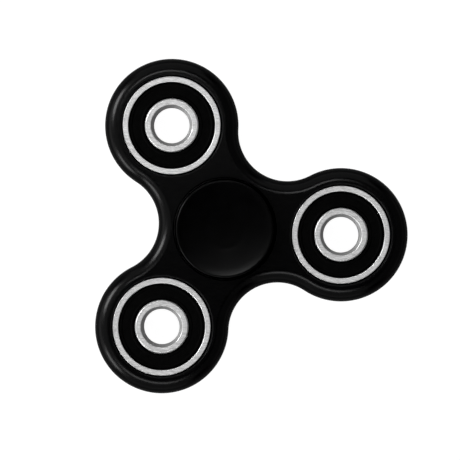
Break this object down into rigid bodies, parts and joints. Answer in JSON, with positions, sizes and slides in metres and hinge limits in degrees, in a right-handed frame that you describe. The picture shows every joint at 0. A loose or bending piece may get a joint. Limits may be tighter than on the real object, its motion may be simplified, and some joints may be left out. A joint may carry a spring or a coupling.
{
  "type": "fidget spinner",
  "caption": "Lobed hand spinner: a rounded black frame turns on a central ball bearing between dished finger caps, with an open bearing in every lobe.",
  "frame": {"origin": "on the spin axis, halfway through the frame's thickness, which is the middle of the centre bearing", "axes": "+Z along the spin axis, out of the upper finger cap; +X from the spin axis to the middle of lobe A"},
  "size_m": [0.0691, 0.0752, 0.0124],
  "materials": {
    "frame_plastic": "semi-gloss moulded black",
    "cap_plastic": "semi-gloss moulded black",
    "ring_steel": "ground bearing steel with polished chamfers",
    "ball_steel": "mirror polished",
    "cage_nylon": "natural nylon",
    "seal_rubber": "matt black nitrile rubber",
    "washer_steel": "plain stamped steel"
  },
  "bodies": {
    "grip": {"top_cap": "cap_plastic", "bottom_cap": "cap_plastic", "centre_inner_ring": "ring_steel"},
    "spinner": {"frame": "frame_plastic", "centre_outer_ring": "ring_steel", "centre_top_seal": "seal_rubber", "centre_bottom_seal": "seal_rubber", "centre_top_washer": "washer_steel", "centre_bottom_washer": "washer_steel", "lobe_a_outer_ring": "ring_steel", "lobe_a_top_seal": "seal_rubber", "lobe_a_bottom_seal": "seal_rubber", "lobe_a_top_washer": "washer_steel", "lobe_a_bottom_washer": "washer_steel", "lobe_b_outer_ring": "ring_steel", "lobe_b_top_seal": "seal_rubber", "lobe_b_bottom_seal": "seal_rubber", "lobe_b_top_washer": "washer_steel", "lobe_b_bottom_washer": "washer_steel", "lobe_c_outer_ring": "ring_steel", "lobe_c_top_seal": "seal_rubber", "lobe_c_bottom_seal": "seal_rubber", "lobe_c_top_washer": "washer_steel", "lobe_c_bottom_washer": "washer_steel"},
    "centre_ball_set": {"centre_balls": "ball_steel", "centre_cage": "cage_nylon"},
    "lobe_a_hub": {"lobe_a_inner_ring": "ring_steel"},
    "lobe_a_ball_set": {"lobe_a_balls": "ball_steel", "lobe_a_cage": "cage_nylon"},
    "lobe_b_hub": {"lobe_b_inner_ring": "ring_steel"},
    "lobe_b_ball_set": {"lobe_b_balls": "ball_steel", "lobe_b_cage": "cage_nylon"},
    "lobe_c_hub": {"lobe_c_inner_ring": "ring_steel"},
    "lobe_c_ball_set": {"lobe_c_balls": "ball_steel", "lobe_c_cage": "cage_nylon"}
  },
  "joints": [
    {"name": "spin", "type": "hinge", "parent": "grip", "child": "spinner", "pos_m": [0, 0, 0], "axis": [0, 0, 1], "continuous": true},
    {"name": "centre_ball_roll", "type": "hinge", "parent": "grip", "child": "centre_ball_set", "pos_m": [0, 0, 0], "axis": [0, 0, 1], "continuous": true},
    {"name": "lobe_a_turn", "type": "hinge", "parent": "spinner", "child": "lobe_a_hub", "pos_m": [0.0261, 0, 0], "axis": [0, 0, 1], "continuous": true},
    {"name": "lobe_a_ball_roll", "type": "hinge", "parent": "spinner", "child": "lobe_a_ball_set", "pos_m": [0.0261, 0, 0], "axis": [0, 0, 1], "continuous": true},
    {"name": "lobe_b_turn", "type": "hinge", "parent": "spinner", "child": "lobe_b_hub", "pos_m": [-0.01305, 0.0226, 0], "axis": [0, 0, 1], "continuous": true},
    {"name": "lobe_b_ball_roll", "type": "hinge", "parent": "spinner", "child": "lobe_b_ball_set", "pos_m": [-0.01305, 0.0226, 0], "axis": [0, 0, 1], "continuous": true},
    {"name": "lobe_c_turn", "type": "hinge", "parent": "spinner", "child": "lobe_c_hub", "pos_m": [-0.01305, -0.0226, 0], "axis": [0, 0, 1], "continuous": true},
    {"name": "lobe_c_ball_roll", "type": "hinge", "parent": "spinner", "child": "lobe_c_ball_set", "pos_m": [-0.01305, -0.0226, 0], "axis": [0, 0, 1], "continuous": true}
  ],
  "couplings": [
    {"joint": "centre_ball_roll", "follows": "spin", "ratio": 0.6323},
    {"joint": "lobe_a_ball_roll", "follows": "lobe_a_turn", "ratio": 0.3677},
    {"joint": "lobe_b_ball_roll", "follows": "lobe_b_turn", "ratio": 0.3677},
    {"joint": "lobe_c_ball_roll", "follows": "lobe_c_turn", "ratio": 0.3677}
  ]
}
